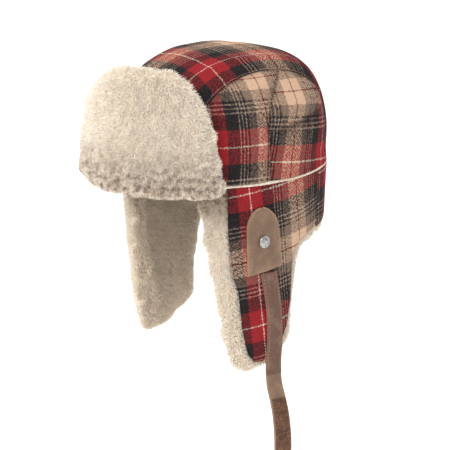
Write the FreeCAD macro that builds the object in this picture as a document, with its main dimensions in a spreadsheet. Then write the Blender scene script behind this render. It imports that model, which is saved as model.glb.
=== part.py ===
"""Trapper hat: plaid crown, furred front, ear and neck flaps, leather chin strap.

Millimetres, +Z up, the wearer looks along -Y and the wearer's left is +X.
The origin is the centre of the head opening, at the seam between crown and flaps.
"""
import FreeCAD, Part
import math
import os

V = FreeCAD.Vector
origin = V(0, 0, 0)
doc = FreeCAD.newDocument("TrapperHat")

sizes = {
    # head opening and the layers of the crown, from the inside out
    "opening_half_width": 83,
    "opening_half_length": 101,
    "sweatband_wall": 1.4,
    "sweatband_height": 28,
    "lining_wall": 1.2,
    "wadding_wall": 4.6,
    "shell_wall": 2,
    "layer_gap": 0.2,
    "crown_height": 109,
    "crown_rake": 6,
    "crown_power": 2.8,
    # seams between the crown's panels
    "seam_gap": 0.3,
    "panel_front_half_width": 64,
    "panel_back_half_width": 55,
    "side_seam_foot": -8,
    "side_seam_top": 30,
    "piping_radius": 1.3,
    # the flaps that hang from the crown's edge
    "flap_gap": 0.4,
    "flap_length": 186,
    "flap_lean": 3,
    "flap_interlining_wall": 1.5,
    "ear_fur_wall": 14,
    "fur_margin": 11,
    "flap_front": -60,
    "flap_tip": -30,
    "flap_back": 20,
    "flap_split": 62,
    "split_gap": 0.8,
    "neck_drop": 60,
    "neck_fur_wall": 12,
    # the front flap, worn up against the crown
    "front_clearance": 1.6,
    "front_height": 112,
    "front_foot": 1,
    "front_half_width": 110,
    "front_half_length": 140,
    "front_outer_lean": 15,
    "front_inner_lean": 6,
    "front_edge_margin": 6,
    # leather, rivets and metal
    "leather_wall": 2.2,
    "patch_half_width": 17.5,
    "patch_centre": -16,
    "patch_top": 25,
    "patch_bottom": 86,
    "strap_width": 18,
    "strap_foot": -7.5,
    "strap_tail": 2.5,
    "strap_gap": 0.3,
    "strap_hinge_gap": 2.8,
    "tape_width": 13,
    "tape_wall": 1,
    "rivet_head_radius": 6,
    "rivet_head_height": 2,
    "rivet_post_radius": 1.9,
    "rivet_clearance": 0.25,
    "washer_radius": 5.5,
    "washer_wall": 0.8,
    "rivet_drop": 57,
    "tab_end": 112,
    "ring_wire": 2.4,
    "ring_height": 13,
    "ring_clearance": 0.4,
}
sheet = doc.addObject("Spreadsheet::Sheet", "Sizes")
for row, (alias, value) in enumerate(sizes.items(), start=1):
    sheet.set("A%d" % row, alias)
    sheet.set("B%d" % row, str(value))
    sheet.setAlias("B%d" % row, alias)
doc.recompute()


def size(alias):
    """Read one driving dimension from the sheet."""
    return float(getattr(sheet, alias))


parts = []


def add_part(label, shape):
    """Keep a finished solid as a named sub-part of the document."""
    feature = doc.addObject("Part::Feature", label)
    feature.Label = label
    feature.Shape = shape
    feature.Placement = FreeCAD.Placement()
    parts.append(feature)
    return feature


def add_pair(name, shape):
    """Keep a left-hand sub-part (+X) and its mirror image on the right."""
    add_part("left_" + name, shape)
    add_part("right_" + name, shape.mirror(origin, V(1, 0, 0)))


# --- insets of each layer, measured inwards from the outside of the crown ---
gap = size("layer_gap")
wadding_inset = size("shell_wall") + gap
lining_inset = wadding_inset + size("wadding_wall") + gap
sweatband_inset = lining_inset + size("lining_wall") + gap
opening_inset = sweatband_inset + size("sweatband_wall")
crown_half_width = size("opening_half_width") + opening_inset
crown_half_length = size("opening_half_length") + opening_inset
reach = 2 * (crown_half_length + size("flap_length"))  # longer than any cut needs to be


def dome(inset):
    """Solid crown form: a superellipse turned about Z, stretched and raked backwards."""
    exponent = 2 / size("crown_power")
    steps = 12
    profile = []
    for step in range(steps + 1):
        angle = math.radians(90 * step / steps)
        across = max(math.cos(angle), 0) ** exponent
        profile.append(V(across, 0, math.sin(angle) ** exponent))
    profile[-1] = V(0, 0, 1)
    curve = Part.BSplineCurve()
    curve.interpolate(profile)
    axis = Part.makeLine(V(0, 0, 1), origin)
    foot = Part.makeLine(origin, profile[0])
    face = Part.Face(Part.Wire([curve.toShape(), axis, foot]))
    form = face.revolve(origin, V(0, 0, 1), 360)
    stretch = FreeCAD.Matrix()
    stretch.A11 = crown_half_width - inset
    stretch.A22 = crown_half_length - inset
    stretch.A33 = size("crown_height") - inset
    stretch.A23 = size("crown_rake")
    return form.transformGeometry(stretch)


def rounded_wire(points, radii, closed=True):
    """Straight runs joined by tangent arcs; a radius of 0 keeps a corner sharp."""
    count = len(points)
    corners = []
    for index, (point, radius) in enumerate(zip(points, radii)):
        inner = closed or 0 < index < count - 1
        if not inner or radius == 0:
            corners.append((point, None, point))
            continue
        back = (points[index - 1] - point).normalize()
        ahead = (points[(index + 1) % count] - point).normalize()
        half = back.getAngle(ahead) / 2
        run = radius / math.tan(half)
        centre = point + (back + ahead).normalize() * (radius / math.sin(half))
        middle = centre + (point - centre).normalize() * radius
        corners.append((point + back * run, middle, point + ahead * run))
    edges = []
    for index, (start, middle, end) in enumerate(corners):
        if middle is not None:
            edges.append(Part.Arc(start, middle, end).toShape())
        if index < count - 1 or closed:
            following = corners[(index + 1) % count][0]
            edges.append(Part.makeLine(end, following))
    return Part.Wire(Part.sortEdges(edges)[0])


def side_prism(outline, radii):
    """Extrude a side-view outline, given as (y, z), along +X from the middle plane."""
    wire = rounded_wire([V(0, y, z) for y, z in outline], radii)
    return Part.Face(wire).extrude(V(reach, 0, 0))


def ellipse_form(half_axes, bottom, top):
    """Solid between two heights whose elliptic section follows half_axes(z)."""
    wires = []
    for z in (bottom, top):
        across, along = half_axes(z)
        ellipse = Part.Ellipse(V(0, along, z), V(across, 0, z), V(0, 0, z))
        wires.append(Part.Wire(ellipse.toShape()))
    return Part.makeLoft(wires, True, True)


# --- crown ---
seam = size("seam_gap") / 2
shell = dome(0).cut(dome(size("shell_wall")))


def centre_strip(clearance):
    """Front-to-back strip of the crown, a little narrower at the back."""
    wide = size("panel_front_half_width") + clearance
    narrow = size("panel_back_half_width") + clearance
    end = 1.1 * crown_half_length
    corners = [V(-wide, -end, -1), V(wide, -end, -1), V(narrow, end, -1), V(-narrow, end, -1)]
    return Part.Face(Part.makePolygon(corners + corners[:1])).extrude(V(0, 0, reach))


def rear_block(clearance):
    """Everything behind the seam that splits each side panel, curving back as it climbs."""
    foot = size("side_seam_foot") + clearance
    top = size("side_seam_top") + clearance
    height = size("crown_height")
    bend = Part.BSplineCurve()
    bend.interpolate([V(0, foot, 0.4 * height), V(0, foot + 0.18 * (top - foot), 0.62 * height),
                      V(0, top, 0.9 * height)])
    corners = [V(0, top, 0.9 * height), V(0, top, reach), V(0, reach, reach),
               V(0, reach, -1), V(0, foot, -1), V(0, foot, 0.4 * height)]
    edges = [bend.toShape()]
    for start, end in zip(corners, corners[1:]):
        edges.append(Part.makeLine(start, end))
    return Part.Face(Part.Wire(Part.sortEdges(edges)[0])).extrude(V(reach, 0, 0))


add_part("crown_centre_panel", shell.common(centre_strip(-seam)))
side_wall = shell.cut(centre_strip(seam))
half_space = Part.makeBox(reach, 2 * reach, 2 * reach, V(0, -reach, -reach))
left_wall = side_wall.common(half_space)
add_pair("front_side_panel", left_wall.cut(rear_block(-seam)))
add_pair("rear_side_panel", left_wall.common(rear_block(seam)))
add_part("crown_wadding", dome(wadding_inset).cut(dome(wadding_inset + size("wadding_wall"))))
add_part("crown_lining", dome(lining_inset).cut(dome(lining_inset + size("lining_wall"))))
band_slab = Part.makeBox(2 * reach, 2 * reach, size("sweatband_height"), V(-reach, -reach, 0))
band = dome(sweatband_inset).cut(dome(opening_inset))
add_part("sweatband", band.common(band_slab))

# --- piping in the seam round the sides and back ---
piping_radius = size("piping_radius")
flap_gap = size("flap_gap")
piping_level = -flap_gap - piping_radius
flap_top = piping_level - piping_radius - flap_gap
piping_width = crown_half_width - piping_radius
piping_length = crown_half_length - piping_radius
piping_line = Part.Ellipse(V(0, piping_length, piping_level), V(piping_width, 0, piping_level),
                           V(0, 0, piping_level))
piping_end = math.acos(size("flap_front") / piping_length)
piping_path = Part.ArcOfEllipse(piping_line, -piping_end, piping_end)
piping_start = piping_path.value(-piping_end)
piping_section = Part.Circle(piping_start, piping_path.tangent(-piping_end)[0], piping_radius)
piping_wire = Part.Wire(piping_path.toShape())
add_part("seam_piping", piping_wire.makePipeShell([Part.Wire(piping_section.toShape())], True, False))


# --- flaps that hang: layers that carry on downwards from the crown's wall ---
def hanging_axes(inset):
    """Half axes of a hanging layer, leaning in towards the bottom."""
    def at_height(z):
        lean = size("flap_lean") * z / size("flap_length")
        return crown_half_width - inset + lean, crown_half_length - inset + lean
    return at_height


def hanging_wall(outer_inset, wall):
    """Closed elliptic wall, deep enough for every hanging flap."""
    deep = -size("flap_length") - size("fur_margin")
    outer = ellipse_form(hanging_axes(outer_inset), deep, flap_top)
    inner = ellipse_form(hanging_axes(outer_inset + wall), deep - 1, flap_top + 1)
    return outer.cut(inner)


interlining_inset = size("shell_wall") + gap
fur_inset = interlining_inset + size("flap_interlining_wall") + gap
shell_layer = hanging_wall(0, size("shell_wall"))
interlining_layer = hanging_wall(interlining_inset, size("flap_interlining_wall"))
ear_fur_layer = hanging_wall(fur_inset, size("ear_fur_wall"))
neck_fur_layer = hanging_wall(fur_inset, size("neck_fur_wall"))

front, back = size("flap_front"), size("flap_back")
tip, split = size("flap_tip"), size("flap_split")
margin = size("fur_margin")
length = size("flap_length")
drop = size("neck_drop")
above = flap_top + 1


def ear_outline(grow):
    """Side view of an ear flap, grown by the fur's margin where fur shows past the cloth."""
    hem = length - margin + grow
    points = [(split, above), (split, -drop - grow), (back + 0.9 * grow + 4, -drop - 0.5 * grow - 6),
              (back + 0.7 * grow, -length / 2 - 16), (back + 0.7 * grow - 5, -hem + 24),
              (tip + 22, -hem + 2), (tip - 2 - grow / 2, -hem), (front + 14 - grow, -length / 2 - 8),
              (front - grow, -14), (front - grow, above)]
    radii = [0, 6, 9, 40, 14, 12, 5 + grow / 2, 60, 3, 0]
    return points, radii


cloth_outline = ear_outline(0)
fur_outline = ear_outline(margin)
under_front = side_prism([(front, above), (front, -8), (-reach / 2, -8), (-reach / 2, above)], [0] * 4)

rivet_y = size("patch_centre")
rivet_z = -size("rivet_drop")


def wall_x(inset, y, z):
    """X of a hanging layer's face at a given y and z."""
    across, along = hanging_axes(inset)(z)
    return across * math.sqrt(1 - (y / along) ** 2)


def wall_normal(y, z):
    """Outward direction of the hanging wall at a given y and z."""
    across, along = hanging_axes(0)(z)
    x = wall_x(0, y, z)
    lean = size("flap_lean") / size("flap_length")
    return V(x / across ** 2, y / along ** 2, -lean / across).normalize()


leather = size("leather_wall")
rivet_axis = wall_normal(rivet_y, rivet_z)
rivet_base = V(wall_x(0, rivet_y, rivet_z), rivet_y, rivet_z)
rivet_clearance = size("rivet_clearance")
head_level = gap + leather + rivet_clearance
washer_level = -fur_inset + gap - rivet_clearance
washer_wall = size("washer_wall")
rivet_hole = Part.makeCylinder(size("rivet_post_radius") + rivet_clearance, reach,
                               rivet_base + rivet_axis * (washer_level - washer_wall), rivet_axis)
pocket_depth = washer_wall + rivet_clearance
washer_pocket = Part.makeCylinder(size("washer_radius") + rivet_clearance, reach,
                                  rivet_base + rivet_axis * (washer_level - pocket_depth), rivet_axis)

add_pair("ear_flap_shell", shell_layer.common(side_prism(*cloth_outline)).cut(rivet_hole))
add_pair("ear_flap_interlining", interlining_layer.common(side_prism(*cloth_outline)).cut(rivet_hole))
ear_fur = ear_fur_layer.common(side_prism(*fur_outline)).cut(under_front)
add_pair("ear_flap_fur", ear_fur.cut(washer_pocket))

neck_start = split + size("split_gap")


def neck_block(grow):
    """Slab behind the ear flaps, its hem rising slightly towards the back."""
    points = [(neck_start, above), (neck_start, -drop - grow),
              (crown_half_length, -drop - grow + 6), (reach / 2, -drop - grow + 6), (reach / 2, above)]
    wire = rounded_wire([V(-reach, y, z) for y, z in points], [0, 5, 60, 0, 0])
    return Part.Face(wire).extrude(V(2 * reach, 0, 0))


add_part("neck_flap_shell", shell_layer.common(neck_block(0)))
add_part("neck_flap_interlining", interlining_layer.common(neck_block(0)))
add_part("neck_flap_fur", neck_fur_layer.common(neck_block(margin)))


# --- front flap, standing up against the crown ---
def front_inner_axes(offset):
    """Half axes of a front flap layer, outwards from the face next to the crown."""
    def at_height(z):
        lean = size("front_inner_lean") * z / size("front_height")
        clear = size("front_clearance") + offset - lean
        return crown_half_width + clear, crown_half_length + clear
    return at_height


def front_outer_axes(z):
    """Half axes of the fur's outside, which leans in more than the inside does."""
    lean = size("front_outer_lean") * z / size("front_height")
    return size("front_half_width") - lean, size("front_half_length") - lean


def front_block(inset):
    """Side view of the front flap, wrapped from temple to temple."""
    height = size("front_height")
    points = [(front - inset, size("front_foot") + inset / 3), (front - 18 - inset, 0.75 * height),
              (front - 32 - inset, height - inset), (-reach / 2, height - inset),
              (-reach / 2, size("front_foot") + inset / 3)]
    wire = rounded_wire([V(-reach, y, z) for y, z in points], [8, 30, 14, 0, 0])
    return Part.Face(wire).extrude(V(2 * reach, 0, 0))


def front_layer(inner_axes, outer_axes, inset):
    """One layer of the front flap between two leaning faces."""
    height = size("front_height")
    outer = ellipse_form(outer_axes, 0, height)
    inner = ellipse_form(inner_axes, -1, height + 1)
    return outer.cut(inner).common(front_block(inset))


lining_out = size("shell_wall") + gap
fur_out = lining_out + size("flap_interlining_wall") + gap
edge = size("front_edge_margin")
add_part("front_flap_backing", front_layer(front_inner_axes(0), front_inner_axes(size("shell_wall")), edge))
add_part("front_flap_interlining",
         front_layer(front_inner_axes(lining_out), front_inner_axes(fur_out - gap), edge))
add_part("front_flap_fur", front_layer(front_inner_axes(fur_out), front_outer_axes, 0))

# --- leather patches and straps, lying on the cloth of the ear flaps ---
strap_half = size("strap_width") / 2
strap_foot = size("strap_foot")
strap_exit = length + size("strap_tail")
leather_layer = hanging_wall(-gap - leather, leather)
patch_half = size("patch_half_width")
patch_centre = size("patch_centre")
patch_tilt = (strap_foot - patch_centre) / (strap_exit - size("patch_bottom"))


def patch_bottom(y):
    """Height of the patch's slanting bottom edge at a given y."""
    return -size("patch_bottom") + 2 * patch_tilt * (y - patch_centre)


def tilted(y, z):
    """Shift a point so that patch and strap follow the flap's slant."""
    return y + patch_tilt * (-z - size("rivet_drop")), z


patch_corners = [tilted(patch_centre - patch_half, -size("patch_top")),
                 tilted(patch_centre - patch_half, patch_bottom(patch_centre - patch_half)),
                 tilted(patch_centre + patch_half, patch_bottom(patch_centre + patch_half)),
                 tilted(patch_centre + patch_half, -size("patch_top"))]
arch = patch_half - 0.6
patch_prism = side_prism(patch_corners, [arch, 2.5, 2.5, arch])
add_pair("strap_patch", leather_layer.common(patch_prism).cut(rivet_hole))


def strap_strip(end, end_y):
    """Straight strip of strap from just under the patch down to a given depth."""
    start_y = patch_centre + patch_tilt * (size("patch_bottom") - size("rivet_drop"))
    points = []
    for side in (-1, 1):
        y = start_y + side * strap_half
        points.append((y, patch_bottom(y) - size("strap_gap") - 1.5))
    points.append((end_y + strap_half, -end))
    points.append((end_y - strap_half, -end))
    return leather_layer.common(side_prism(points, [0] * 4))


add_part("left_strap_sewn", strap_strip(strap_exit, strap_foot))
tab_share = (size("tab_end") - size("patch_bottom")) / (strap_exit - size("patch_bottom"))
tab_y = patch_centre + tab_share * (strap_foot - patch_centre) + 2
strap_tab = strap_strip(size("tab_end"), tab_y)

# --- rivets: a domed head on a post, closed by a washer behind the interlining ---
for side, name in ((1, "left"), (-1, "right")):
    axis = V(side * rivet_axis.x, rivet_axis.y, rivet_axis.z)
    base = V(side * rivet_base.x, rivet_base.y, rivet_base.z)
    turn = FreeCAD.Rotation(V(0, 0, 1), axis)
    post = doc.addObject("Part::Cylinder", name + "_post")
    post.setExpression("Radius", "Sizes.rivet_post_radius")
    post.Height = head_level - washer_level + gap
    post.Placement = FreeCAD.Placement(base + axis * washer_level, turn)
    head = doc.addObject("Part::Cone", name + "_head")
    head.setExpression("Radius1", "Sizes.rivet_head_radius")
    head.setExpression("Radius2", "Sizes.rivet_head_radius * 0.6")
    head.setExpression("Height", "Sizes.rivet_head_height")
    head.Placement = FreeCAD.Placement(base + axis * head_level, turn)
    rivet = doc.addObject("Part::Fuse", name + "_rivet")
    rivet.Label = name + "_rivet"
    rivet.Base = head
    rivet.Tool = post
    parts.append(rivet)
    washer = doc.addObject("Part::Cylinder", name + "_rivet_washer")
    washer.Label = name + "_rivet_washer"
    washer.setExpression("Radius", "Sizes.washer_radius")
    washer.setExpression("Height", "Sizes.washer_wall")
    washer.Placement = FreeCAD.Placement(base + axis * (washer_level - washer_wall), turn)
    parts.append(washer)

# --- right flap: a short tab whose fold holds a ring for the strap's free end ---
fold_bore = size("ring_wire") / 2 + size("ring_clearance")
fold_radius = fold_bore + leather
fold_x = wall_x(-gap, tab_y, -size("tab_end")) + fold_radius + gap
fold_z = -size("tab_end") - fold_radius
fold_start = V(-fold_x, tab_y - strap_half, fold_z)
fold_length = size("strap_width")
along = V(0, 1, 0)
fold = Part.makeCylinder(fold_radius, fold_length, fold_start, along)
bridge_depth = fold_radius - 0.4
bridge = Part.makeBox(fold_radius, fold_length, bridge_depth + 2,
                      V(-fold_x, tab_y - strap_half, fold_z + fold_radius - bridge_depth))
tab = strap_tab.mirror(origin, V(1, 0, 0)).fuse(fold).fuse(bridge)
bore = Part.makeCylinder(fold_bore, fold_length + 2, fold_start - along, along)
cloth_side = ellipse_form(hanging_axes(-gap), -size("flap_length"), 0)
add_part("right_strap_tab", tab.cut(bore).cut(cloth_side).removeSplitter())

wire = size("ring_wire")
ring_height = size("ring_height")
ring_outer = size("strap_width") + 2 * (wire + 1.5)
frame_points = [V(-fold_x, tab_y - (ring_outer - wire) / 2, fold_z),
                V(-fold_x, tab_y + (ring_outer - wire) / 2, fold_z),
                V(-fold_x, tab_y + (ring_outer - wire) / 2, fold_z - ring_height),
                V(-fold_x, tab_y - (ring_outer - wire) / 2, fold_z - ring_height)]
frame_path = rounded_wire(frame_points, [wire] * 4)
section_start = frame_path.Edges[0]
half_wire = wire / 2
start_point = section_start.valueAt(section_start.FirstParameter)
start_line = section_start.tangentAt(section_start.FirstParameter)
section = Part.Wire(Part.Circle(start_point, start_line, half_wire).toShape())
add_part("right_strap_ring", frame_path.makePipeShell([section], True, False))

# --- free end of the left strap: it swings out past the fur and hangs straight ---
strap_x = wall_x(-gap - leather / 2, strap_foot, -strap_exit)
strap_top = -strap_exit - size("strap_hinge_gap")
# offsets from the strap's exit, chosen by hand: outwards, then down
strap_route = [(0, 0), (2, -9), (8, -22), (11, -41), (11.5, -68), (10.5, -96), (11, -119)]


def route_radii(route):
    """Largest arc each corner of an open route allows: 0.45 of its shorter run."""
    radii = [0]
    for before, corner, after in zip(route, route[1:], route[2:]):
        back_run, next_run = before - corner, after - corner
        half_turn = (math.pi - back_run.getAngle(next_run)) / 2
        radii.append(0.45 * min(back_run.Length, next_run.Length) / math.tan(half_turn))
    return radii + [0]


def flat_strip(route, width, wall):
    """Sweep a flat section, width along Y, down a route in a plane of constant y."""
    radii = route_radii(route)
    print("arc radii:", [round(radius, 1) for radius in radii[1:-1]])
    path = rounded_wire(route, radii, closed=False)
    start = route[0]
    side = V(0, width / 2, 0)
    thick = V(0, 1, 0).cross(start - route[1]).normalize() * (wall / 2)
    corners = [start - side - thick, start + side - thick, start + side + thick, start - side + thick]
    section = Part.makePolygon(corners + corners[:1])
    strip = path.makePipeShell([section], True, True)
    print("strip volume against section times length:", round(strip.Volume, 1),
          round(width * wall * path.Length, 1))
    return strip


free_route = [V(strap_x + out, strap_foot, strap_top + down) for out, down in strap_route]
add_part("left_strap_free", flat_strip(free_route, size("strap_width"), leather))
tape_shift = V((leather + size("tape_wall")) / 2 + gap, 0, 0)
tape_start = free_route[2] + (free_route[3] - free_route[2]) * 0.25
tape_end = free_route[-1] + (free_route[-2] - free_route[-1]) * 0.3
tape_route = [tape_start] + free_route[3:-1] + [tape_end]
tape_route = [point + tape_shift for point in tape_route]
add_part("left_strap_loop_tape", flat_strip(tape_route, size("tape_width"), size("tape_wall")))

# --- check everything, then write one file for each sub-part ---
doc.recompute()
for feature in doc.Objects:
    if "Invalid" in feature.State or "Error" in feature.State:
        raise RuntimeError("failed feature: " + feature.Name)
for feature in parts:
    shape = feature.Shape
    if shape.isNull() or not shape.isValid() or shape.Volume <= 0 or not shape.Solids:
        raise RuntimeError("bad shape: " + feature.Label)
    print(feature.Label, len(shape.Solids), round(shape.Volume / 1000, 2))

print("hinge lines: ear x", round(crown_half_width + 2, 2), "strap x", round(strap_x, 2),
      "strap z", round(strap_top + size("strap_hinge_gap") / 2, 2), "ring x", round(-fold_x, 2),
      "ring z", round(fold_z, 2), "ring y", round(tab_y, 2))
os.makedirs("parts", exist_ok=True)
for feature in parts:
    feature.Shape.exportStep("parts/" + feature.Label + ".step")
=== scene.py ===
import math
import bmesh
import bpy
import numpy as np
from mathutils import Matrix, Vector, noise


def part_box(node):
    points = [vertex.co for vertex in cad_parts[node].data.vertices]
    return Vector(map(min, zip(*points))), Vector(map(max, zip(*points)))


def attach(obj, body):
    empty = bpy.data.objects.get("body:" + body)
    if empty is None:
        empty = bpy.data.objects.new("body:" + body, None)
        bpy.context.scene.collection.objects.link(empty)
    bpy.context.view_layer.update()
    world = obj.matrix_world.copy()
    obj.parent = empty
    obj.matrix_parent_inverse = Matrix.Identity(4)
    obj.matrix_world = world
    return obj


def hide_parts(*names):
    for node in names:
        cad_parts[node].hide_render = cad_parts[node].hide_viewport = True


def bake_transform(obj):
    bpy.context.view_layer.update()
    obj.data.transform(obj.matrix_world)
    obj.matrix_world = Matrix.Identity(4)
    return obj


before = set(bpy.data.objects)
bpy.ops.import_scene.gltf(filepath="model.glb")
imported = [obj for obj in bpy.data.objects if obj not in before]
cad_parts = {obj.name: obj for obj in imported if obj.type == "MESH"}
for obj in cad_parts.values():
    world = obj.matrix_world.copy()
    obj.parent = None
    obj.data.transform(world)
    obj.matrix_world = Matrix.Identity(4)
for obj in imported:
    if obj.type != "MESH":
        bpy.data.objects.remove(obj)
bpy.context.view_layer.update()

# Everything is in metres, +Z up, the wearer looks along -Y, the wearer's left is +X.
mm = 0.001
print("frame loaded:", len(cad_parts), "nodes")


# sRGB bytes to the linear values that shaders take.
def colour(red, green, blue):
    linear = []
    for value in (red, green, blue):
        share = value / 255
        linear.append(share / 12.92 if share <= 0.04045 else ((share + 0.055) / 1.055) ** 2.4)
    return (*linear, 1)


# One node, with its settings and its unlinked or linked inputs.
def addNode(tree, kind, inputs=None, **settings):
    made = tree.nodes.new(kind)
    for name, value in settings.items():
        setattr(made, name, value)
    for name, value in (inputs or {}).items():
        if isinstance(value, bpy.types.NodeSocket):
            tree.links.new(value, made.inputs[name])
        else:
            made.inputs[name].default_value = value
    return made


def maths(tree, operation, first, second=0.0, third=None):
    inputs = {0: first, 1: second}
    if third is not None:
        inputs[2] = third
    return addNode(tree, "ShaderNodeMath", inputs, operation=operation).outputs[0]


# A named attribute of the surface, as a material reads it.
def attributeOf(tree, name):
    return addNode(tree, "ShaderNodeAttribute", attribute_name=name).outputs["Fac"]


def vectorMaths(tree, operation, first, second=None, scale=None):
    inputs = {0: first}
    if second is not None:
        inputs[1] = second
    if scale is not None:
        inputs["Scale"] = scale
    return addNode(tree, "ShaderNodeVectorMath", inputs, operation=operation).outputs[0]


def mixColour(tree, share, first, second, mode="MIX"):
    inputs = {0: share, 6: first, 7: second}
    return addNode(tree, "ShaderNodeMix", inputs, data_type="RGBA", blend_type=mode).outputs[2]


def ramp(tree, value, stops, interpolation="LINEAR"):
    made = addNode(tree, "ShaderNodeValToRGB", {0: value})
    made.color_ramp.interpolation = interpolation
    elements = made.color_ramp.elements
    while len(elements) < len(stops):
        elements.new(0.5)
    for element, (place, tint) in zip(elements, stops):
        element.position = place
        element.color = tint if len(tint) == 4 else (*tint, 1)
    return made.outputs[0]


def noiseAt(tree, place, scale, detail=3.0, roughness=0.55):
    made = addNode(tree, "ShaderNodeTexNoise", {"Vector": place, "Scale": scale, "Detail": detail,
                                                "Roughness": roughness})
    return made.outputs[0]


# A material whose uniform values sit on the shader's own sockets.
def newMaterial(name, **surface):
    material = bpy.data.materials.new(name)
    material.use_nodes = True
    shader = material.node_tree.nodes["Principled BSDF"]
    for socket, value in surface.items():
        shader.inputs[socket].default_value = value
    return material, material.node_tree, shader


def bumpInto(tree, shader, height, distance, strength=1.0):
    made = addNode(tree, "ShaderNodeBump", {"Height": height, "Distance": distance, "Strength": strength})
    tree.links.new(made.outputs[0], shader.inputs["Normal"])


def objectPlace(tree):
    return addNode(tree, "ShaderNodeTexCoord").outputs["Object"]


plaid = {
    "red": colour(150, 30, 38), "black": colour(24, 25, 29), "beige": colour(212, 176, 148),
    "taupe": colour(126, 106, 92), "cream": colour(238, 214, 190), "wine": colour(120, 14, 22),
    "pale": colour(160, 140, 124), "redHalf": 13, "blackWide": 11.5, "paleLine": 1.1, "darkLine": 2.3,
    "lineCount": 3, "taupeWide": 8, "beigeWide": 22, "creamLine": 0.6, "wineLine": 0.8, "rowStretch": 1.22,
    "twillPitch": 3.1,
}


# One repeat of the sett, from the middle of the red band, as ramp stops.
def plaidStops():
    half = [("cream", plaid["creamLine"]), ("red", plaid["redHalf"] - plaid["creamLine"]),
            ("black", plaid["blackWide"])]
    half += [("pale", plaid["paleLine"]), ("black", plaid["darkLine"])] * plaid["lineCount"]
    half += [("taupe", plaid["taupeWide"]), ("beige", plaid["beigeWide"] / 2 - plaid["wineLine"]),
             ("wine", plaid["wineLine"])]
    bands = half + half[::-1]
    repeat = sum(width for _, width in bands)
    stops, place = [], 0.0
    for tint, width in bands:
        if not stops or stops[-1][1] != plaid[tint]:
            stops.append((place / repeat, plaid[tint]))
        place += width
    return stops, repeat * mm


def plaidMaterial():
    material, tree, shader = newMaterial("plaidWool", Roughness=1.0)
    shader.inputs["Specular IOR Level"].default_value = 0.15
    stops, repeat = plaidStops()
    cloth = addNode(tree, "ShaderNodeUVMap", uv_map="cloth").outputs[0]
    wobble = addNode(tree, "ShaderNodeTexNoise", {"Vector": cloth, "Scale": 420.0, "Detail": 2.0})
    drift = vectorMaths(tree, "SUBTRACT", wobble.outputs["Color"], (0.5, 0.5, 0.5))
    cloth = vectorMaths(tree, "ADD", cloth, vectorMaths(tree, "SCALE", drift, scale=0.0026))
    parted = addNode(tree, "ShaderNodeSeparateXYZ", {0: cloth})
    threads = []
    for axis in (0, 1):
        pitch = repeat * (plaid["rowStretch"] if axis else 1)
        place = maths(tree, "FRACT", maths(tree, "DIVIDE", parted.outputs[axis], pitch))
        threads.append(ramp(tree, place, stops, "CONSTANT"))
    diagonal = maths(tree, "ADD", parted.outputs[0], parted.outputs[1])
    wave = maths(tree, "SINE", maths(tree, "MULTIPLY", diagonal, 2 * math.pi / (plaid["twillPitch"] * mm)))
    speckle = noiseAt(tree, cloth, 520.0, 1.0)
    share = maths(tree, "MULTIPLY_ADD", wave, 0.28, maths(tree, "MULTIPLY_ADD", speckle, 3.4, -1.2))
    share = addNode(tree, "ShaderNodeClamp", {0: share, 1: 0.12, 2: 0.88}).outputs[0]
    woven = mixColour(tree, share, threads[0], threads[1])
    darker = mixColour(tree, 1.0, threads[0], threads[1], "DARKEN")
    woven = mixColour(tree, 0.3, woven, darker)
    worn = noiseAt(tree, cloth, 300.0, 4.0, 0.7)
    woven = mixColour(tree, maths(tree, "MULTIPLY_ADD", worn, 0.3, -0.1), woven, colour(120, 96, 84))
    # Painted shade: the cloth turns dark beside seams and edges, under the piping and in the crease over the
    # ears.
    paintedShade = attributeOf(tree, "paintedShade")
    woven = mixColour(tree, maths(tree, "MULTIPLY", paintedShade, 0.75), woven, colour(40, 26, 26))
    tree.links.new(woven, shader.inputs["Base Color"])
    height = maths(tree, "MULTIPLY_ADD", wave, 0.35, noiseAt(tree, cloth, 700.0, 3.0))
    bumpInto(tree, shader, height, 0.0012, 0.8)
    return material


furTones = {"root": colour(216, 198, 172), "middle": colour(250, 239, 223), "tip": colour(255, 250, 241),
            "shade": colour(112, 78, 48)}


# Pile: dark at the root, light at the tip, with darker locks here and there, much darker where the pad lies in
# shade: painted shade.
def furMaterial():
    material, tree, shader = newMaterial("creamFur", Roughness=0.85)
    shader.inputs["Sheen Weight"].default_value = 0.3
    along = attributeOf(tree, "along")
    tone = attributeOf(tree, "tone")
    pile = ramp(tree, along, [(0.0, furTones["root"]), (0.3, furTones["middle"]), (1.0, furTones["tip"])])
    shadow = attributeOf(tree, "shadow")
    locks = noiseAt(tree, objectPlace(tree), 210.0, 4.0, 0.7)
    inputs = {"Value": locks, "From Min": 0.46, "From Max": 0.6}
    locks = addNode(tree, "ShaderNodeMapRange", inputs).outputs[0]
    # Painted shade: the shadow attribute makes the dark locks stronger.
    spread = maths(tree, "MULTIPLY_ADD", shadow, 1.45, 0.1)
    uneven = maths(tree, "MULTIPLY_ADD", tone, 0.8, 0.4)
    darker = maths(tree, "MULTIPLY", locks, maths(tree, "MULTIPLY", spread, uneven))
    pile = mixColour(tree, darker, pile, furTones["shade"])
    # Painted shade: the pile darkens towards tan where the pad lies in shade, most on the ear flaps' inner
    # sides.
    paintedDim = attributeOf(tree, "paintedDim")
    pile = mixColour(tree, maths(tree, "MULTIPLY", paintedDim, 0.36), pile, colour(176, 148, 108))
    pile = mixColour(tree, maths(tree, "MULTIPLY", tone, 0.2), pile, colour(214, 198, 176))
    tree.links.new(pile, shader.inputs["Base Color"])
    return material


leatherTones = {"worn": colour(146, 118, 94), "body": colour(116, 90, 69), "deep": colour(104, 76, 58),
                "seam": colour(88, 56, 43),
                "rubbed": colour(118, 82, 66)}


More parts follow.
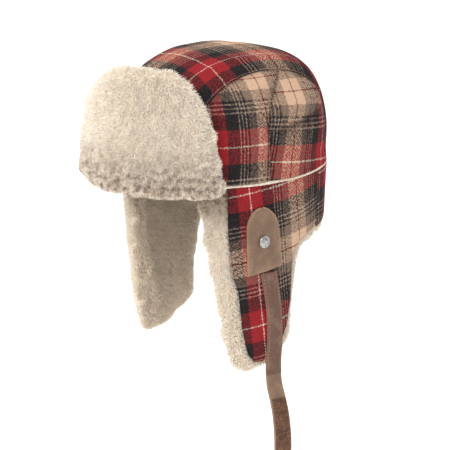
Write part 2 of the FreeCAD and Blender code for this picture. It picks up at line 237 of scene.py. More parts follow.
# Waxed leather: mottled and finely grained, with another tone where the surface's rim attribute is high.
def leatherMaterial(name, middle, rim):
    material, tree, shader = newMaterial(name, Roughness=0.62)
    place = objectPlace(tree)
    mottle = noiseAt(tree, place, 55.0, 6.0, 0.65)
    grain = addNode(tree, "ShaderNodeTexVoronoi", {"Vector": place, "Scale": 1100.0}).outputs["Distance"]
    rimShare = attributeOf(tree, "rim")
    rimShare = maths(tree, "MULTIPLY", rimShare, maths(tree, "MULTIPLY_ADD", mottle, 1.2, 0.2))
    body = ramp(tree, mottle, [(0.3, leatherTones["deep"]), (0.5, middle), (0.72, leatherTones["worn"])])
    speck = noiseAt(tree, place, 900.0, 2.0)
    body = mixColour(tree, maths(tree, "MULTIPLY_ADD", speck, 0.5, -0.1), body, leatherTones["deep"])
    body = mixColour(tree, rimShare, body, rim)
    tree.links.new(body, shader.inputs["Base Color"])
    height = maths(tree, "MULTIPLY_ADD", grain, 0.6, noiseAt(tree, place, 380.0, 4.0))
    bumpInto(tree, shader, height, 0.0006, 0.6)
    return material


# Plain woven or felted cloth with fine threads and a little unevenness.
def clothMaterial(name, light, dark, scale, roughness=0.9, depth=0.0004):
    material, tree, shader = newMaterial(name, Roughness=roughness)
    place = objectPlace(tree)
    parted = addNode(tree, "ShaderNodeSeparateXYZ", {0: place})
    level = maths(tree, "SINE", maths(tree, "MULTIPLY", parted.outputs[2], scale))
    across = maths(tree, "ADD", parted.outputs[0], parted.outputs[1])
    upright = maths(tree, "SINE", maths(tree, "MULTIPLY", across, scale))
    weave = maths(tree, "MULTIPLY", level, upright)
    mottle = noiseAt(tree, place, 240.0, 4.0)
    share = maths(tree, "MULTIPLY_ADD", weave, 0.2, mottle)
    tint = ramp(tree, share, [(0.3, dark), (0.7, light)])
    tree.links.new(tint, shader.inputs["Base Color"])
    bumpInto(tree, shader, maths(tree, "MULTIPLY_ADD", weave, 0.5, mottle), depth, 0.6)
    return material


# Loop pile of the fastening tape: brown, curly and matt.
def tapeMaterial():
    material, tree, shader = newMaterial("loopTape", Roughness=1.0)
    place = objectPlace(tree)
    curls = noiseAt(tree, place, 620.0, 5.0, 0.75)
    blotch = noiseAt(tree, place, 140.0, 3.0)
    share = maths(tree, "MULTIPLY_ADD", curls, 0.75, maths(tree, "MULTIPLY", blotch, 0.3))
    dark, brown, light = colour(50, 32, 21), colour(92, 62, 42), colour(136, 100, 74)
    tint = ramp(tree, share, [(0.36, dark), (0.52, brown), (0.7, light)])
    tree.links.new(tint, shader.inputs["Base Color"])
    bumpInto(tree, shader, curls, 0.0012, 1.0)
    return material


# Dull nickel: brushed round and slightly tarnished in its hollows.
def metalMaterial():
    material, tree, shader = newMaterial("dullNickel", Metallic=1.0, Roughness=0.38)
    place = objectPlace(tree)
    tarnish = noiseAt(tree, place, 420.0, 5.0, 0.7)
    tint = ramp(tree, tarnish, [(0.35, colour(120, 118, 114)), (0.65, colour(196, 195, 192))])
    tree.links.new(tint, shader.inputs["Base Color"])
    bumpInto(tree, shader, noiseAt(tree, place, 1800.0, 2.0), 0.0002, 0.4)
    return material


materials = {
    "plaid": plaidMaterial(),
    "fur": furMaterial(),
    "patch": leatherMaterial("patchLeather", leatherTones["body"], leatherTones["worn"]),
    "strap": leatherMaterial("strapLeather", leatherTones["seam"], leatherTones["rubbed"]),
    "tape": tapeMaterial(),
    "metal": metalMaterial(),
    "piping": clothMaterial("creamPiping", colour(236, 224, 206), colour(190, 172, 150), 5200.0),
    "lining": clothMaterial("liningCloth", colour(96, 76, 62), colour(62, 46, 38), 7000.0, 0.6, 0.0002),
    "sweatband": clothMaterial("sweatbandCloth", colour(64, 54, 48), colour(36, 30, 27), 4200.0),
    "wadding": clothMaterial("waddingFibre", colour(238, 237, 234), colour(205, 203, 198), 1500.0),
    "thread": clothMaterial("tanThread", colour(172, 144, 116), colour(132, 104, 80), 9000.0),
}
print("materials made")


# How deep a point sits in the dip beside a seam or an edge, from 0 to 1, as a share of painted shade.
def paintedSeamShade(fromSeam, reach=3.0):
    return 0.75 * np.exp(-np.maximum(fromSeam, 0) / (reach * mm))


# Put data into the scene as an object at the origin.
def intoScene(name, data):
    made = bpy.data.objects.new(name, data)
    bpy.context.scene.collection.objects.link(made)
    return made


def makeObject(name, points, faces, material, smooth=True):
    mesh = bpy.data.meshes.new(name)
    mesh.from_pydata([tuple(point) for point in points], [], faces)
    mesh.materials.append(material)
    mesh.polygons.foreach_set("use_smooth", [smooth] * len(mesh.polygons))
    mesh.update()
    return intoScene(name, mesh)


# Quads between rows of points; a closed grid joins its last column to its first.
def gridFaces(rows, columns, start=0, closed=False):
    faces = []
    for row in range(rows - 1):
        for column in range(columns if closed else columns - 1):
            after = (column + 1) % columns
            low = start + row * columns
            faces.append((low + column, low + after, low + columns + after, low + columns + column))
    return faces


# The two end faces of a tube of rings.
def tubeEnds(rings, around):
    return [tuple(range(around))[::-1], tuple(range((rings - 1) * around, rings * around))]


# Turn the faces of a closed shape outwards.
def pointOut(made):
    shape = bmesh.new()
    shape.from_mesh(made.data)
    bmesh.ops.recalc_face_normals(shape, faces=shape.faces)
    shape.to_mesh(made.data)
    shape.free()


# Write a point-wise UV, in metres, to the piece's 'cloth' map.
def setCloth(made, pairs):
    layer = made.data.uv_layers.new(name="cloth")
    index = np.zeros(len(made.data.loops), int)
    made.data.loops.foreach_get("vertex_index", index)
    layer.data.foreach_set("uv", np.asarray(pairs, float)[index].ravel())


def setShare(made, name, values):
    layer = made.data.attributes.new(name, "FLOAT", "POINT")
    layer.data.foreach_set("value", np.asarray(values, float))


# Turn the evaluated shape into the piece's own plain mesh.
def applyModifiers(made):
    bpy.context.view_layer.update()
    shaped = bpy.data.meshes.new_from_object(made.evaluated_get(bpy.context.evaluated_depsgraph_get()))
    shaped.name = made.name
    made.modifiers.clear()
    made.data = shaped
    return made


# Points evenly spaced along a polyline.
def resample(line, count):
    line = np.asarray(line, float)
    steps = np.r_[0, np.cumsum(np.linalg.norm(np.diff(line, axis=0), axis=1))]
    places = np.linspace(0, steps[-1], count)
    return np.column_stack([np.interp(places, steps, line[:, axis]) for axis in range(line.shape[1])])


# Smooth noise from -1 to 1 at each point, the same on both sides of a seam.
def softNoise(points, scale, seed=0.0):
    return np.array([noise.noise(Vector(point) * scale + Vector((seed, seed, seed))) for point in points])


def solidify(made, thickness, bevel=0.0):
    wall = made.modifiers.new("wall", "SOLIDIFY")
    wall.thickness = thickness
    wall.offset = -1
    if bevel:
        edge = made.modifiers.new("edge", "BEVEL")
        edge.width = bevel
        edge.segments = 2
        edge.limit_method = "ANGLE"
        edge.angle_limit = math.radians(50)
    return applyModifiers(made)


centreLow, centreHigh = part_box("crown_centre_panel")
sideLow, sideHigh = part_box("left_rear_side_panel")
hat = {"halfWidth": sideHigh.x, "halfLength": -centreLow.y, "height": centreHigh.z, "power": 2.8,
       "rake": 6 * mm, "seamFront": 64 * mm, "seamBack": 55 * mm, "sideSeamFoot": -8 * mm,
       "sideSeamTop": 30 * mm, "flapLength": 188 * mm, "flapLean": 3 * mm}


# How far the crown has closed in at a height, and where its middle has moved to.
def crownLevel(z):
    share = np.clip(z / hat["height"], 0, 1)
    return (1 - share ** hat["power"]) ** (1 / hat["power"]), hat["rake"] * share


def crownX(y, z):
    level, middle = crownLevel(z)
    return hat["halfWidth"] * np.sqrt(np.maximum(level ** 2 - ((y - middle) / hat["halfLength"]) ** 2, 0))


# Outward direction of the crown form at points on or near it.
def crownNormal(points):
    x, y, z = np.asarray(points, float).T
    share = np.clip(z / hat["height"], 0.02, 0.999)
    power = hat["power"]
    middle = hat["rake"] * share
    level = (1 - share ** power) ** (1 / power)
    steep = 2 * level * level ** (1 - power) * share ** (power - 1) / hat["height"]
    slope = -2 * (y - middle) / hat["halfLength"] ** 2 * hat["rake"] / hat["height"]
    normal = np.column_stack([2 * x / hat["halfWidth"] ** 2, 2 * (y - middle) / hat["halfLength"] ** 2,
                              steep + slope])
    return normal / np.linalg.norm(normal, axis=1)[:, None]


crown = {"rows": 150, "columns": 56, "sideRows": 70, "sideColumns": 46, "puff": 2.6 * mm, "dip": 0.9 * mm,
         "puffReach": 7 * mm, "wall": 1.1 * mm, "swell": 2.4 * mm, "crease": 4.2 * mm, "lowest": -0.7 * mm}


relief = {"ridgeAt": 40 * mm, "ridgeHalf": 5 * mm, "ridgeFrom": 70 * mm, "ridge": 1.6 * mm, "rake": 0.12,
          "middle": 20 * mm, "foldLevel": 50 * mm, "foldLift": 13 * mm, "foldHalf": 11 * mm, "valley": 0.38,
          "valleyHalf": 3.4 * mm, "creaseLevel": 48 * mm, "slackLevel": 20 * mm, "slackHalf": 5 * mm,
          "slack": 0.15}


# Soft unevenness of worn, padded cloth, with the creases of a hat that has been folded.
def crownRelief(points):
    x, y, z = points.T
    swell = crown["swell"] * (softNoise(points, 16.0, 3.1) * 0.7 + softNoise(points, 38.0, 7.7) * 0.35)
    ridge = np.exp(-((np.abs(x) - relief["ridgeAt"]) / relief["ridgeHalf"]) ** 2)
    ridge *= np.clip((z - relief["ridgeFrom"]) / (30 * mm), 0, 1)
    beside = np.clip((y + 14 * mm) / (22 * mm), 0, 1) * np.clip((78 * mm - y) / (20 * mm), 0, 1)
    beside *= np.clip((np.abs(x) - 30 * mm) / (20 * mm), 0, 1)
    rise = z - relief["foldLevel"] - relief["rake"] * (y - relief["middle"])
    fold = np.exp(-((rise - relief["foldLift"]) / relief["foldHalf"]) ** 2)
    fold = beside * (fold - relief["valley"] * np.exp(-(rise / relief["valleyHalf"]) ** 2))
    slack = np.exp(-((z - relief["slackLevel"] + 0.08 * y) / relief["slackHalf"]) ** 2)
    return swell + relief["ridge"] * ridge + crown["crease"] * (fold - relief["slack"] * slack)


# How deep a point sits in the crease over the ears, from 0 to 1, as a share of painted shade.
def paintedCreaseShade(points):
    y, z = points.T[1:]
    beside = np.clip((y + 6 * mm) / (20 * mm), 0, 1) * np.clip((86 * mm - y) / (20 * mm), 0, 1)
    rise = z - relief["creaseLevel"] - relief["rake"] * (y - relief["middle"])
    return 0.8 * beside * np.exp(-(rise / np.where(rise > 0, 2.0 * mm, 6.0 * mm)) ** 2)


# Push a panel out between its seams and let it dip along them.
def raiseCrown(points, fromSeam):
    puffed = crown["puff"] * (1 - np.exp(-fromSeam / crown["puffReach"])) - crown["dip"]
    lift = np.maximum(puffed + crownRelief(points), crown["lowest"])
    return points + crownNormal(points) * lift[:, None]


def seamHalf(y):
    share = (y + hat["halfLength"]) / (2 * hat["halfLength"])
    return hat["seamFront"] + (hat["seamBack"] - hat["seamFront"]) * share


# Front-to-back line on the crown at a share of the centre panel's half width.
def centreColumn(share):
    swing = np.radians(np.linspace(-90, 90, 720))
    x = np.full(swing.shape, share * hat["seamFront"])
    for _ in range(4):
        inward = np.clip(np.abs(x) / hat["halfWidth"], 0, 0.999)
        along = np.sin(swing) * np.sqrt(1 - inward ** 2)
        level = np.sqrt(np.minimum(inward ** 2 + along ** 2, 1))
        z = hat["height"] * (1 - level ** hat["power"]) ** (1 / hat["power"])
        y = hat["halfLength"] * along + hat["rake"] * z / hat["height"]
        x = share * seamHalf(y)
    return np.column_stack([x, y, z])


# A share held between 0 and 1 that leaves and arrives softly.
def eased(share):
    share = np.clip(share, 0, 1)
    return share * share * (3 - 2 * share)


# Distance along each row and down each column of a grid.
def arcAcross(points, rows, columns):
    grid = points.reshape(rows, columns, 3)
    across = np.zeros((rows, columns))
    across[:, 1:] = np.cumsum(np.linalg.norm(np.diff(grid, axis=1), axis=2), axis=1)
    down = np.zeros((rows, columns))
    down[1:] = np.cumsum(np.linalg.norm(np.diff(grid, axis=0), axis=2), axis=0)
    return across, down


def centrePanel():
    rows, columns = crown["rows"], crown["columns"]
    lines = [resample(centreColumn(share), rows) for share in np.linspace(-1, 1, columns)]
    points = np.stack(lines, axis=1).reshape(-1, 3)
    across, down = arcAcross(points, rows, columns)
    width = across[:, -1:]
    fromSeam = np.minimum(across, width - across).ravel()
    sideways = (across / width - 0.5) * width.mean()
    cloth = np.column_stack([sideways.ravel(), (down - down[rows // 2]).ravel()])
    made = makeObject("crownCentreCloth", raiseCrown(points, fromSeam), gridFaces(rows, columns),
                      materials["plaid"])
    setShare(made, "paintedShade", paintedSeamShade(fromSeam))
    return made, cloth


# The seam that splits a side panel, from the crown's edge up to the arch.
def sideSeam(rows):
    z = np.linspace(0, 0.97 * hat["height"], 400)
    climb = np.clip((z / hat["height"] - 0.4) / 0.5, 0, None) ** 2.1
    y = hat["sideSeamFoot"] + (hat["sideSeamTop"] - hat["sideSeamFoot"]) * climb
    inside = crownX(y, z) > seamHalf(y)
    last = np.argmin(inside) if not inside.all() else len(z)
    return resample(np.column_stack([y, z])[:last], rows)


# Half of a side panel: rows run from the arch seam to the side seam.
def sidePanel(side, rear):
    rows, columns = crown["sideRows"], crown["sideColumns"]
    seam = sideSeam(rows)
    arch = centreColumn(1.0)
    split = int(np.argmin(np.hypot(arch[:, 1] - seam[-1, 0], arch[:, 2] - seam[-1, 1])))
    half = arch[split:][::-1] if rear else arch[:split + 1]
    edge = resample(half, rows)
    shares = np.linspace(0, 1, columns)[None, :, None]
    flat = edge[:, None, 1:] * (1 - shares) + seam[:, None, :] * shares
    y, z = flat[..., 0], flat[..., 1]
    x = crownX(y, z)
    x[:, 0] = edge[:, 0]
    points = np.stack([x, y, z], axis=-1).reshape(-1, 3)
    across, _ = arcAcross(points, rows, columns)
    width = across[:, -1:]
    fromSeam = np.minimum(across, width - across).ravel()
    raised = raiseCrown(points, fromSeam)
    level, middle = crownLevel(points[:, 2])
    turn = np.arctan2((points[:, 1] - middle) / hat["halfLength"], points[:, 0] / hat["halfWidth"])
    swing = np.linspace(-math.pi / 2, math.pi / 2, 400)
    pace = np.hypot(hat["halfLength"] * np.cos(swing), hat["halfWidth"] * np.sin(swing))
    arc = np.cumsum(pace) * (swing[1] - swing[0])
    arc -= arc[len(arc) // 2]
    fine = np.linspace(0, hat["height"], 400)
    inward = crownLevel(fine)[0] * (hat["halfWidth"] + hat["halfLength"]) / 2
    climb = np.r_[0, np.cumsum(np.hypot(np.diff(fine), np.diff(inward)))]
    cloth = np.column_stack([np.interp(turn, swing, arc) * level, np.interp(points[:, 2], fine, climb)])
    raised[:, 0] *= side
    faces = gridFaces(rows, columns)
    if (side < 0) != rear:
        faces = [face[::-1] for face in faces]
    words = ("left" if side > 0 else "right") + ("Rear" if rear else "Front") + "SideCloth"
    made = makeObject(words, raised, faces, materials["plaid"])
    setShare(made, "paintedShade", np.clip(paintedSeamShade(fromSeam) + paintedCreaseShade(points), 0, 1))
    return made, cloth


# Where each panel was cut from the cloth: a shift across and along it in metres, and a turn in degrees.
cuts = {
    "crownCentreCloth": (0.070, 0.045, 0), "leftFrontSideCloth": (0.066, 0.096, 0),
    "leftRearSideCloth": (0.041, 0.115, 8), "rightFrontSideCloth": (0.020, 0.030, 0),
    "rightRearSideCloth": (0.034, 0.044, 0), "leftEarCloth": (0.0305, 0.006, -7),
    "rightEarCloth": (0.050, 0.030, -6), "neckCloth": (0.0418, 0.007, 0),
    "frontBackingCloth": (0.0, 0.05, 0),
}


def cutCloth(made, cloth):
    across, along, turn = cuts[made.name]
    spin = math.radians(turn)
    turned = cloth @ np.array([[math.cos(spin), math.sin(spin)], [-math.sin(spin), math.cos(spin)]])
    setCloth(made, turned + np.array([across, along]))
    return made


# Turn every face outwards from the hat's middle.
def outwards(made):
    mesh = made.data
    shape = bmesh.new()
    shape.from_mesh(mesh)
    middle = Vector((0, 0, 20 * mm))
    score = sum(face.normal.dot(face.calc_center_median() - middle) for face in shape.faces)
    if score < 0:
        bmesh.ops.reverse_faces(shape, faces=shape.faces)
    shape.to_mesh(mesh)
    shape.free()
    return made


def makeCrown():
    made, cloth = centrePanel()
    solidify(outwards(cutCloth(made, cloth)), crown["wall"])
    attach(made, "crown")
    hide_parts("crown_centre_panel")
    for side, hand in ((1, "left"), (-1, "right")):
        for rear, place in ((False, "front"), (True, "rear")):
            made, cloth = sidePanel(side, rear)
            solidify(outwards(cutCloth(made, cloth)), crown["wall"])
            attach(made, "crown")
            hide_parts(hand + "_" + place + "_side_panel")
    print("crown panels made")


makeCrown()


# X of the wall that the flaps hang in, at a distance outside it.
def hangX(y, z, out=0.0):
    lean = hat["flapLean"] * z / hat["flapLength"]
    across, along = hat["halfWidth"] + lean + out, hat["halfLength"] + lean + out
    return across * np.sqrt(np.maximum(1 - (y / along) ** 2, 0))


earFlap = {
    "rows": 110, "columns": 44, "wall": 2.0 * mm, "belly": 1.2 * mm, "bellyReach": 6 * mm, "edgeDip": 0.8 * mm,
    "top": -0.8 * mm, "foldStart": 0.0, "foldEnd": -40 * mm,
    "front": [(0, -50.5), (-37, -49.5), (-61, -48.5), (-83, -46.5), (-106, -39), (-141, -35), (-168, -29),
              (-176, -22)],
    "back": [(0, 61), (-52, 61), (-58, 56), (-61, 42), (-66, 29), (-74, 23), (-85, 20.5), (-122, 19.5),
             (-146, 15), (-160, 8), (-170, -2), (-176, -14)],
}


def outlineY(stations, z):
    heights = [station[0] * mm for station in stations][::-1]
    places = [station[1] * mm for station in stations][::-1]
    fine = np.linspace(heights[0], heights[-1], 240)
    line = np.interp(fine, heights, places)
    kernel = np.hanning(9) / np.hanning(9).sum()
    soft = np.convolve(np.pad(line, 4, mode="edge"), kernel, mode="valid")
    return np.interp(z, fine, soft)


# How far flap cloth stands out over its fur: dipping in at its edges, uneven away from them.
def flapBelly(points, fromEdge, unevenness, seed):
    belly = earFlap["belly"] * (1 - np.exp(-fromEdge / earFlap["bellyReach"])) - earFlap["edgeDip"]
    return belly + unevenness * softNoise(points, 24.0, seed) * np.clip(fromEdge / (10 * mm), 0, 1)


def earCloth(side):
    rows, columns = earFlap["rows"], earFlap["columns"]
    z = np.linspace(earFlap["top"], earFlap["front"][-1][0] * mm, rows)
    front, back = outlineY(earFlap["front"], z), outlineY(earFlap["back"], z)
    shares = np.linspace(0, 1, columns)[None, :]
    y = front[:, None] * (1 - shares) + back[:, None] * shares
    height = np.repeat(z[:, None], columns, axis=1)
    points = np.stack([hangX(y, height), y, height], axis=-1).reshape(-1, 3)
    across, _ = arcAcross(points, rows, columns)
    width = across[:, -1:]
    fromEdge = np.minimum(np.minimum(across, width - across), (height - z[-1]) + 0.2 * mm).ravel()
    belly = flapBelly(points, fromEdge, 1.3 * mm, 5.0)
    start = np.abs(y[0]).argmin()
    place = across - across[:, start:start + 1]
    place += (y[:, start] - y[0, start])[:, None]
    cloth = np.column_stack([place.ravel(), height.ravel()])
    points[:, 0] += belly
    points[:, 0] *= side
    made = makeObject("leftEarCloth" if side > 0 else "rightEarCloth", points, gridFaces(rows, columns),
                      materials["plaid"])
    # Painted shade on the flap cloth just under the piping.
    shadeUnderPiping = paintedSeamShade(-points[:, 2] + earFlap["top"], 3.0)
    setShare(made, "paintedShade", 0.6 * paintedSeamShade(fromEdge, 1.5) + 0.6 * shadeUnderPiping)
    return made, cloth


neckFlap = {"columns": 120, "rows": 40, "wall": 2.0 * mm, "side": 62.8 * mm, "foot": -60 * mm,
            "rise": 6 * mm}


def neckCloth():
    rows, columns = neckFlap["rows"], neckFlap["columns"]
    corner = math.atan2(neckFlap["side"] / hat["halfLength"],
                        math.sqrt(1 - (neckFlap["side"] / hat["halfLength"]) ** 2))
    turn = np.linspace(math.pi - corner, corner, columns)
    shares = np.linspace(0, 1, rows)[:, None]
    rise = neckFlap["rise"] * np.sin((turn - corner) / (math.pi - 2 * corner) * math.pi)
    z = earFlap["top"] + shares * (neckFlap["foot"] + rise - earFlap["top"])[None, :]
    lean = hat["flapLean"] * z / hat["flapLength"]
    x = (hat["halfWidth"] + lean) * np.cos(turn)[None, :]
    y = (hat["halfLength"] + lean) * np.sin(turn)[None, :]
    points = np.stack([x, y, z], axis=-1).reshape(-1, 3)
    across, _ = arcAcross(points, rows, columns)
    width = across[:, -1:]
    fromEdge = np.minimum(np.minimum(across, width - across), z - z[-1:] + 0.2 * mm).ravel()
    belly = flapBelly(points, fromEdge, 1.2 * mm, 9.0)
    outward = points * np.array([1, 1, 0])
    outward /= np.linalg.norm(outward, axis=1)[:, None]
    made = makeObject("neckCloth", points + outward * belly[:, None], gridFaces(rows, columns),
                      materials["plaid"])
    setShare(made, "paintedShade", 0.6 * paintedSeamShade(fromEdge, 1.5))
    return made, np.column_stack([(across - width / 2).ravel(), z.ravel()])


def makeHangingCloth():
    for side, hand in ((1, "left"), (-1, "right")):
        made, cloth = earCloth(side)
        solidify(outwards(cutCloth(made, cloth)), earFlap["wall"], 0.5 * mm)
        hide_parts(hand + "_ear_flap_shell", hand + "_ear_flap_interlining")
        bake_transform(made)
    made, cloth = neckCloth()
    solidify(outwards(cutCloth(made, cloth)), neckFlap["wall"], 0.5 * mm)
    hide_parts("neck_flap_shell", "neck_flap_interlining")
    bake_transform(made)
    print("flap cloth made")


makeHangingCloth()


furPads = {
    "front_flap_fur": {"name": "frontFur", "seed": 11, "density": 2.4e6, "cap": 6 * mm, "shrink": 2.0 * mm},
    "neck_flap_fur": {"name": "neckFur", "seed": 23, "density": 1.6e6, "cap": 4 * mm, "shrink": 1.5 * mm},
    "left_ear_flap_fur": {"name": "leftEarFur", "seed": 37, "density": 2.3e6, "cap": 4 * mm,
                          "shrink": 1.0 * mm},
    "right_ear_flap_fur": {"name": "rightEarFur", "seed": 53, "density": 2.3e6, "cap": 4 * mm,
                           "shrink": 1.0 * mm},
}
padding = {"voxel": 4.5 * mm, "pressure": 4.0, "frames": 20, "lump": 1.5 * mm, "pile": 3.8 * mm}


# A copy of a CAD solid with its loose triangles joined up.
def copyOfNode(node, name, material):
    shape = bmesh.new()
    shape.from_mesh(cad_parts[node].data)
    bmesh.ops.remove_doubles(shape, verts=shape.verts, dist=1e-5)
    mesh = bpy.data.meshes.new(name)
    shape.to_mesh(mesh)
    shape.free()
    mesh.materials.clear()
    mesh.materials.append(material)
    return intoScene(name, mesh)


def remeshEvenly(made, size):
    remesh = made.modifiers.new("remesh", "REMESH")
    remesh.mode = "VOXEL"
    remesh.voxel_size = size


def coordinates(made):
    places = np.zeros(len(made.data.vertices) * 3, np.float32)
    made.data.vertices.foreach_get("co", places)
    return places.reshape(-1, 3).astype(float)


def placeAll(made, places):
    made.data.vertices.foreach_set("co", np.asarray(places, np.float32).ravel())
    made.data.update()


def vertexNormals(made):
    normals = np.zeros(len(made.data.vertices) * 3, np.float32)
    made.data.vertices.foreach_get("normal", normals)
    return normals.reshape(-1, 3).astype(float)


front = {"topDrop": 0.98, "farDrop": 0.15, "farFrom": 28 * mm, "farReach": 100 * mm, "sag": 10 * mm,
         "sagFarShare": 0.35, "tuck": 16 * mm, "bendFrom": 0.55, "round": 14 * mm, "broad": 7 * mm,
         "broadFrom": 30 * mm, "shadowTop": 40 * mm, "shadowShare": 0.7, "paintedDimShare": 0.6}


# The front pad slumps: lower on the wearer's right, rounder at the top, its hem sagging at the left.
def shapeFront(made):
    places = coordinates(made)
    low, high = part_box("front_flap_fur")
    height = np.clip((places[:, 2] - low.z) / (high.z - low.z), 0, 1)
    far = eased((front["farFrom"] - places[:, 0]) / front["farReach"])
    scale = front["topDrop"] - front["farDrop"] * far
    places[:, 2] = low.z + (places[:, 2] - low.z) * (1 + (scale - 1) * height)
    near = np.clip((places[:, 0] + 60 * mm) / (90 * mm), 0, 1)
    least = front["sagFarShare"]
    places[:, 2] -= front["sag"] * (least + (1 - least) * near) * np.clip(1 - 1.6 * height, 0, 1) ** 1.5
    bend = np.clip((height - front["bendFrom"]) / (1 - front["bendFrom"]), 0, 1) ** 2
    places[:, 1] += front["tuck"] * bend * (least + (1 - least) * far)
    places[:, 0] += front["round"] * bend * far
    beside = np.clip((places[:, 0] - front["broadFrom"]) / (40 * mm), 0, 1)
    places[:, 1] += front["broad"] * beside * np.sin(math.pi * np.clip(height, 0, 1))
    placeAll(made, places)


roll = {"reach": 7 * mm, "out": 3.4 * mm, "from": -2 * mm, "corner": 5 * mm}


# The fur rolls out over the cloth's front edge on an ear flap.
def rollEdge(made):
    places = coordinates(made)
    x, y, z = places.T
    before = eased((outlineY(earFlap["front"], z) + 1 * mm - y) / roll["reach"])
    before *= np.clip((roll["from"] - z) / (12 * mm), 0, 1)
    outer = np.abs(x) > hangX(y, z, -6 * mm)
    places[:, 0] += np.sign(x) * roll["out"] * before * outer
    forward = np.clip((-y - 40 * mm) / (24 * mm), 0, 1) * np.clip((z + 150 * mm) / (40 * mm), 0, 1)
    places[:, 1] += roll["corner"] * forward
    placeAll(made, places)


# 1 where a pad may swell, 0 on the side that its cloth covers.
def freeShare(made, name):
    outward = coordinates(made) * np.array([1, 1, 0])
    outward /= np.linalg.norm(outward, axis=1)[:, None]
    facing = (vertexNormals(made) * outward).sum(axis=1)
    return np.clip((facing if name == "frontFur" else -facing) * 2 + 1, 0, 1)


# Blow a soft pad up a little with cloth simulation, so that its faces crown and its edges round.
def swellPad(made, plan):
    remeshEvenly(made, padding["voxel"])
    soften = made.modifiers.new("soften", "SMOOTH")
    soften.iterations = 4
    applyModifiers(made)
    start = coordinates(made)
    placeAll(made, start - vertexNormals(made) * plan["shrink"])
    start = coordinates(made)
    free = freeShare(made, plan["name"])
    cloth = made.modifiers.new("swell", "CLOTH")
    cloth.settings.use_pressure = True
    cloth.settings.uniform_pressure_force = padding["pressure"]
    cloth.settings.effector_weights.gravity = 0
    cloth.settings.quality = 4
    cloth.point_cache.frame_start = 1
    cloth.point_cache.frame_end = padding["frames"]
    for step in range(1, padding["frames"] + 1):
        bpy.context.scene.frame_set(step)
    applyModifiers(made)
    bpy.context.scene.frame_set(1)
    moved = coordinates(made) - start
    reach = np.linalg.norm(moved, axis=1)[:, None]
    moved *= np.minimum(1, plan["cap"] / np.maximum(reach, 1e-9))
    placeAll(made, start + moved * free[:, None])
    rounded = made.modifiers.new("round", "SUBSURF")
    rounded.levels = rounded.render_levels = 1
    applyModifiers(made)
    if plan["name"] == "frontFur":
        shapeFront(made)
    elif plan["name"] != "neckFur":
        rollEdge(made)
    lumps = padding["lump"] * (softNoise(coordinates(made), 55.0, plan["seed"]) +
                               0.5 * softNoise(coordinates(made), 110.0, plan["seed"] + 4))
    lumps *= freeShare(made, plan["name"])
    placeAll(made, coordinates(made) + vertexNormals(made) * lumps[:, None])
    made.data.polygons.foreach_set("use_smooth", [True] * len(made.data.polygons))
    return made


# Where pile grows and not under cloth, and how deep each part of the pad lies in shade, which the pile's
# colour takes as painted shade.
def bareShare(made, node):
    places, normals = coordinates(made), vertexNormals(made)
    y, z = places.T[1:]
    outward = places * np.array([1, 1, 0])
    outward /= np.linalg.norm(outward, axis=1)[:, None]
    facing = (normals * outward).sum(axis=1)
    slack = 1.5 * mm
    if node == "front_flap_fur":
        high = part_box("front_flap_backing")[1]
        covered = (facing < -0.3) & (z < high.z - slack) & (y < high.y - slack)
    elif node == "neck_flap_fur":
        above = z > neckFlap["foot"] + neckFlap["rise"]
        covered = (facing > 0.3) & above & (y > neckFlap["side"] + slack)
    else:
        inside = (y > outlineY(earFlap["front"], z) + slack) & (y < outlineY(earFlap["back"], z) - slack)
        covered = (facing > 0.3) & inside & (z > earFlap["front"][-1][0] * mm + slack)
    setShare(made, "pileShare", np.where(covered, 0.0, 1.0))
    if node == "front_flap_fur":
        # Front fur: painted shade over its lower part, fading out towards the shadow's top.
        top = front["shadowTop"]
        shadow = front["shadowShare"] * np.clip((top - z) / top, 0, 1) * np.clip(facing + 0.5, 0, 1)
        paintedDim = front["paintedDimShare"] * shadow
    else:
        # Ear fur: painted shade near the top, where the front flap meets it, and more over the inner side.
        shadow = np.clip((z + 34 * mm) / (32 * mm), 0, 1)
        paintedDim = shadow + np.where(facing < 0.2, 1.1, 0.35)
    setShare(made, "shadow", shadow)
    setShare(made, "paintedDim", paintedDim)


# An empty Geometry Nodes tree and what it is given: a shape, its sizes and a finish.
def newTree(name, entering, leaving, sizes, seeded=False):
    tree = bpy.data.node_groups.new(name, "GeometryNodeTree")
    face = tree.interface
    face.new_socket(entering, in_out="INPUT", socket_type="NodeSocketGeometry")
    face.new_socket(leaving, in_out="OUTPUT", socket_type="NodeSocketGeometry")
    for size, value in sizes.items():
        face.new_socket(size, in_out="INPUT", socket_type="NodeSocketFloat").default_value = value
    if seeded:
        face.new_socket("Seed", in_out="INPUT", socket_type="NodeSocketInt")
    face.new_socket("Finish", in_out="INPUT", socket_type="NodeSocketMaterial")
    return tree, tree.nodes.new("NodeGroupInput").outputs


def endTree(tree, shape, finish):
    painted = addNode(tree, "GeometryNodeSetMaterial", {"Geometry": shape, "Material": finish})
    leaving = tree.nodes.new("NodeGroupOutput")
    tree.links.new(painted.outputs[0], leaving.inputs[0])
    return tree


def randomBetween(tree, seed, low, high):
    inputs = {2: low, 3: high, "Seed": seed}
    return addNode(tree, "FunctionNodeRandomValue", inputs, data_type="FLOAT").outputs[1]


